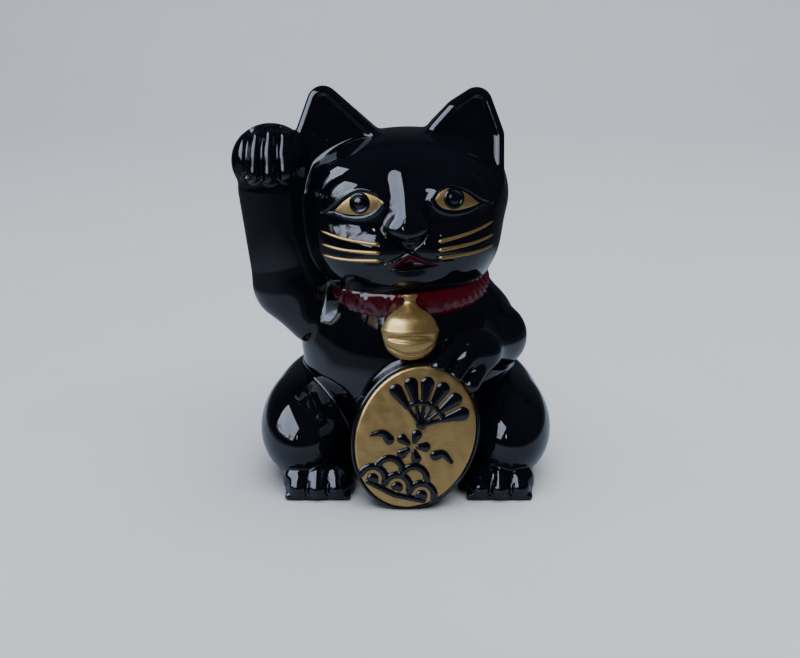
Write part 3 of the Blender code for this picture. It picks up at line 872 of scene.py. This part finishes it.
def wave_ornament(glaze):
    """Overlapping rounded waves."""
    strokes = []
    for row, count in ((0, 3), (1, 2)):
        for i in range(count):
            centre = ((i - (count - 1) / 2) * 10.2, -21.4 + row * 5.4)
            strokes.append((ring_line(centre, 5.1, 4, 176, 14), 1.45, 1.45))
            if row == 0:
                strokes.append((ring_line(centre, 0.9, 0, 180, 5), 1.5, 1.5))
    strokes.append((np.array([(-11.5, -23.0), (0.0, -24.6), (11.5, -23.0)]), 1.2, 1.2))
    return ornament("wave_ornament", strokes, glaze)


# ---- Materials -----------------------------------------------------------------------------------


class Finish:
    """A Principled material put together from noise and ramps, in the object's own coordinates."""

    def __init__(self, name):
        self.material = bpy.data.materials.new(name)
        self.material.use_nodes = True
        self.nodes, self.links = self.material.node_tree.nodes, self.material.node_tree.links
        self.shader = self.nodes["Principled BSDF"]
        self.place = self.node("ShaderNodeTexCoord").outputs["Object"]
        self.bump_from = None

    def node(self, kind, **settings):
        made = self.nodes.new(kind)
        for key, value in settings.items():
            setattr(made, key, value)
        return made

    def noise(self, size, detail=3.0, stretch=(1, 1, 1), roughness=0.5):
        """Noise whose blotches are about size millimetres wide."""
        spread = self.node("ShaderNodeMapping")
        spread.inputs["Scale"].default_value = stretch
        self.links.new(self.place, spread.inputs["Vector"])
        made = self.node("ShaderNodeTexNoise")
        made.inputs["Scale"].default_value = 1 / (size * MM)
        made.inputs["Detail"].default_value = detail
        made.inputs["Roughness"].default_value = roughness
        self.links.new(spread.outputs["Vector"], made.inputs["Vector"])
        return made.outputs["Fac"]

    def specks(self, spacing, size):
        """One where a small round speck lies, else zero."""
        made = self.node("ShaderNodeTexVoronoi")
        made.inputs["Scale"].default_value = 1 / (spacing * MM)
        self.links.new(self.place, made.inputs["Vector"])
        return self.spread(made.outputs["Distance"], size, size * 0.5, 0, 1)

    def spread(self, value, low, high, to_low, to_high):
        """Maps a value from one range to another, held at both ends."""
        made = self.node("ShaderNodeMapRange")
        for key, number in (("From Min", low), ("From Max", high), ("To Min", to_low), ("To Max", to_high)):
            made.inputs[key].default_value = number
        self.links.new(value, made.inputs["Value"])
        return made.outputs["Result"]

    def blend(self, share, first, second):
        """Mixes two colours."""
        made = self.node("ShaderNodeMix", data_type="RGBA")
        self.links.new(share, made.inputs["Factor"])
        for socket, colour in ((made.inputs["A"], first), (made.inputs["B"], second)):
            if isinstance(colour, tuple):
                socket.default_value = (*colour, 1)
            else:
                self.links.new(colour, socket)
        return made.outputs["Result"]

    def times(self, first, second):
        """Product of two values."""
        made = self.node("ShaderNodeMath", operation="MULTIPLY")
        for socket, value in zip(made.inputs, (first, second)):
            if isinstance(value, (int, float)):
                socket.default_value = value
            else:
                self.links.new(value, socket)
        return made.outputs["Value"]

    def edges(self, low, high):
        """From zero on flats and in hollows to one on ridges."""
        return self.spread(self.node("ShaderNodeNewGeometry").outputs["Pointiness"], low, high, 0, 1)

    def bump(self, height, depth, strength=1.0):
        """Adds relief, depth millimetres high."""
        made = self.node("ShaderNodeBump")
        made.inputs["Strength"].default_value = strength
        made.inputs["Distance"].default_value = depth * MM
        self.links.new(height, made.inputs["Height"])
        if self.bump_from:
            self.links.new(self.bump_from, made.inputs["Normal"])
        self.bump_from = made.outputs["Normal"]
        self.links.new(self.bump_from, self.shader.inputs["Normal"])

    def put(self, key, value):
        """Sets one of the shader's inputs to a number, a colour or another node's output."""
        if isinstance(value, (int, float)):
            self.shader.inputs[key].default_value = value
        elif isinstance(value, tuple):
            self.shader.inputs[key].default_value = (*value, 1)
        else:
            self.links.new(value, self.shader.inputs[key])


def black_glaze():
    """Glossy near-black glaze, faintly uneven, with a few pinholes."""
    finish = Finish("black_glaze_look")
    cloudy = finish.noise(26, 2)
    finish.put("Base Color", finish.blend(cloudy, (0.0016, 0.0020, 0.0042), (0.0040, 0.0044, 0.0075)))
    finish.put("Roughness", finish.spread(finish.noise(9, 4), 0.35, 0.75, 0.025, 0.075))
    finish.put("IOR", 1.52)
    finish.bump(finish.noise(13, 1.5), 0.09)
    finish.bump(finish.noise(1.6, 2), 0.0035)
    finish.bump(finish.specks(7.5, 0.045), -0.02)
    return finish.material


def gilt_paint():
    """Brushed-on gold, streaky and worn on its ridges."""
    finish = Finish("gilt_look")
    strokes = finish.noise(1.4, 3, (0.25, 1, 1.6))
    worn = finish.times(finish.edges(0.53, 0.62), finish.spread(finish.noise(2.2, 4), 0.45, 0.7, 0, 1))
    gold = finish.blend(finish.noise(8, 3), (0.42, 0.27, 0.095), (0.56, 0.385, 0.155))
    gold = finish.blend(finish.spread(strokes, 0.3, 0.7, 0, 0.35), gold, (0.33, 0.205, 0.07))
    finish.put("Base Color", finish.blend(worn, gold, (0.05, 0.035, 0.02)))
    finish.put("Metallic", 0.85)
    finish.put("Roughness", finish.spread(finish.noise(3, 4), 0.3, 0.7, 0.3, 0.46))
    finish.bump(strokes, 0.05)
    finish.bump(finish.noise(0.5, 2), 0.012)
    return finish.material


def red_enamel(name="red_enamel_look", painted_shade=False):
    """Deep red glaze, darker in hollows. Given True as its second argument, it runs into black from the upper
    lip down: painted shade inside the mouth.
    """
    finish = Finish(name)
    dark = finish.spread(finish.node("ShaderNodeNewGeometry").outputs["Pointiness"], 0.44, 0.5, 1, 0)
    red = finish.blend(finish.noise(5, 3), (0.042, 0.0012, 0.0045), (0.080, 0.0022, 0.0085))
    red = finish.blend(dark, red, (0.016, 0.0006, 0.0025))
    # Painted shade: below the upper lip the mouth's red is blended into near black, the shade inside its
    # pocket.
    if painted_shade:
        level = finish.node("ShaderNodeAttribute", attribute_name="level").outputs["Fac"]
        red = finish.blend(finish.spread(level, 0.35, 0.7, 1, 0), red, (0.0016, 0.0012, 0.0022))
    finish.put("Base Color", red)
    finish.put("Roughness", finish.spread(finish.noise(2.5, 3), 0.3, 0.7, 0.06, 0.16))
    finish.bump(finish.noise(2.2, 2), 0.12)
    return finish.material


def bare_clay():
    """Unglazed biscuit with fine grit."""
    finish = Finish("bare_clay_look")
    tone = finish.blend(finish.noise(12, 4), (0.50, 0.37, 0.27), (0.62, 0.48, 0.36))
    grit = finish.specks(1.6, 0.2)
    finish.put("Base Color", finish.blend(finish.times(grit, 0.6), tone, (0.22, 0.14, 0.10)))
    finish.put("Roughness", finish.spread(finish.noise(1, 2), 0.3, 0.7, 0.8, 0.95))
    finish.bump(finish.noise(0.7, 4), 0.10)
    return finish.material


def soft_rubber():
    """Pale grey rubber."""
    finish = Finish("rubber_look")
    finish.put("Base Color", finish.blend(finish.noise(6, 3), (0.44, 0.43, 0.40), (0.52, 0.51, 0.47)))
    finish.put("Roughness", finish.spread(finish.noise(2, 3), 0.3, 0.7, 0.5, 0.68))
    finish.put("Subsurface Weight", 0.1)
    finish.put("Subsurface Scale", 0.002)
    finish.bump(finish.noise(0.9, 3), 0.03)
    return finish.material


# ---- Stage ---------------------------------------------------------------------------------------


def window():
    """A wide bright window to the cat's right, seen only in the glaze: sky, foliage and small low panes."""
    turn, rise, away = math.radians(25), math.radians(34), 1000
    towards = np.array((-math.cos(rise) * math.cos(turn), -math.cos(rise) * math.sin(turn), math.sin(rise)))
    across = unit(np.cross((0, 0, 1), towards))
    upwards = np.cross(towards, across)
    centre = towards * away + (0, 0, 112)

    def pane(name, left, right, bottom, top, sky, shade, strength):
        outline = ((left, bottom), (right, bottom), (right, top), (left, top))
        corners = [centre + across * a + upwards * b for a, b in outline]
        finish = Finish(name + "_light")
        foliage = finish.spread(finish.noise(170, 5), 0.47, 0.62, 0, 1)
        height = finish.node("ShaderNodeSeparateXYZ")
        finish.links.new(finish.place, height.inputs["Vector"])
        low_down = finish.spread(height.outputs["Z"], 0.62, 0.38, 0, 1)
        colour = finish.blend(finish.noise(280, 2), sky, (0.95, 0.97, 1.0))
        colour = finish.blend(finish.times(foliage, low_down), colour, shade)
        glow = finish.node("ShaderNodeEmission")
        glow.inputs["Strength"].default_value = strength
        finish.links.new(colour, glow.inputs["Color"])
        finish.links.new(glow.outputs["Emission"], finish.nodes["Material Output"].inputs["Surface"])
        piece = new_piece(name, corners, [(0, 1, 2, 3)], finish.material)
        piece.visible_diffuse = False
        piece.visible_camera = False

    sky_blue, leaf_green = (0.36, 0.52, 0.90), (0.07, 0.08, 0.06)
    pane("window", -700, 700, -430, 445, sky_blue, leaf_green, 8.0)
    cream, brown = (0.85, 0.75, 0.52), (0.5, 0.42, 0.26)
    for number, left in enumerate((-520, -130, 240)):
        pane(f"low_pane_{number + 1}", left, left + 290, -485, -450, cream, brown, 2.2)


def stage():
    """Pale floor that curves up behind, with a painted reflection colour for the glaze, soft light, and the
    camera.
    """
    depth = [-2.0] + list(np.linspace(-0.5, 0.9, 12))
    curved = [(y, 0.0) for y in depth]
    radius = 0.6
    for angle in np.radians(np.linspace(8, 90, 12)):
        curved.append((0.9 + radius * math.sin(angle), radius * (1 - math.cos(angle))))
    curved.append((1.5, 2.4))
    points = [(x / MM, y / MM, z / MM) for y, z in curved for x in (-2.5, 2.5)]
    finish = Finish("pale_floor_look")
    pale = finish.blend(finish.noise(60, 3), (0.60, 0.625, 0.67), (0.64, 0.665, 0.71))
    away = finish.node("ShaderNodeVectorMath", operation="LENGTH")
    finish.links.new(finish.place, away.inputs[0])
    near = finish.spread(away.outputs["Value"], 0.20, 0.29, 1, 0)
    # Painted reflection: rays mirrored in the glaze see the floor dark close to the cat and grey-blue farther
    # off, instead of its pale colour.
    painted_reflection_colour = finish.blend(near, (0.030, 0.034, 0.042), (0.30, 0.35, 0.44))
    mirrored = finish.node("ShaderNodeLightPath").outputs["Is Glossy Ray"]
    finish.put("Base Color", finish.blend(mirrored, pale, painted_reflection_colour))
    finish.put("Roughness", 0.75)
    finish.bump(finish.noise(2.5, 3), 0.15)
    floor = new_piece("floor", points, grid_faces(len(curved), 2), finish.material)

    def light(name, place, towards, size, power, colour, mirrored=True):
        lamp = bpy.data.lights.new(name, "AREA")
        lamp.shape = "RECTANGLE"
        lamp.size, lamp.size_y = size
        lamp.energy, lamp.color = power, colour
        obj = bpy.data.objects.new(name, lamp)
        obj.location = place
        obj.rotation_euler = (Vector(towards) - Vector(place)).to_track_quat("-Z", "Y").to_euler()
        obj.visible_glossy = mirrored
        bpy.context.scene.collection.objects.link(obj)

    light("overhead", (0.1, -0.2, 1.6), (0, 0.1, 0), (2.2, 2.2), 60, (0.96, 0.98, 1.0), mirrored=False)
    light("lamp_strip", (-0.45, -1.5, 0.75), (0, 0, 0.1), (0.05, 0.3), 0.8, (1.0, 0.9, 0.72))
    window()

    world = bpy.data.worlds.new("room")
    world.use_nodes = True
    world.node_tree.nodes["Background"].inputs["Color"].default_value = (0.020, 0.024, 0.034, 1)
    bpy.context.scene.world = world

    lens = bpy.data.cameras.new("camera")
    lens.lens, lens.sensor_width = 54, 36
    camera = bpy.data.objects.new("camera", lens)
    camera.location = (-0.0036, -0.483, 0.217)
    camera.rotation_euler = (math.radians(90 - 18.2), 0, 0)
    bpy.context.scene.collection.objects.link(camera)
    bpy.context.scene.camera = camera


# ---- Assembly ------------------------------------------------------------------------------------


def assemble():
    """Makes every piece, puts it on its body and names the material slot it fills."""
    glaze, gilt, red, clay, rubber = black_glaze(), gilt_paint(), red_enamel(), bare_clay(), soft_rubber()
    made = figure(glaze, clay)
    slots = {name: "black_glaze" for name in made}

    def add(piece, node, slot):
        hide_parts(node)
        made[piece.name] = piece
        slots[piece.name] = slot

    add(collar(red), "collar", "red_enamel")
    add(bell(gilt), "bell", "gilt")
    add(coin(gilt), "koban_coin", "gilt")
    add(fan_ornament(glaze), "koban_relief_fan", "black_glaze")
    add(blossom_ornament(glaze), "koban_relief_blossom", "black_glaze")
    add(wave_ornament(glaze), "koban_relief_waves", "black_glaze")
    add(mouth(red_enamel("red_into_painted_shade_look", True)), "mouth", "red_enamel")
    for word, side in (("left", 1), ("right", -1)):
        add(eye(f"gilt_{word}_eye", side, gilt), f"{word}_eye", "gilt")
        add(iris(f"raised_{word}_iris", side, glaze), f"{word}_iris", "black_glaze")
        for row in range(3):
            node = f"{word}_whisker_{row + 1}"
            add(whisker(f"gilt_{node}", side, row, gilt), node, "gilt")
    for name, piece in made.items():
        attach(piece, "figurine")
    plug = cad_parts["base_stopper"]
    plug.data.materials.clear()
    plug.data.materials.append(rubber)
    stage()


assemble()
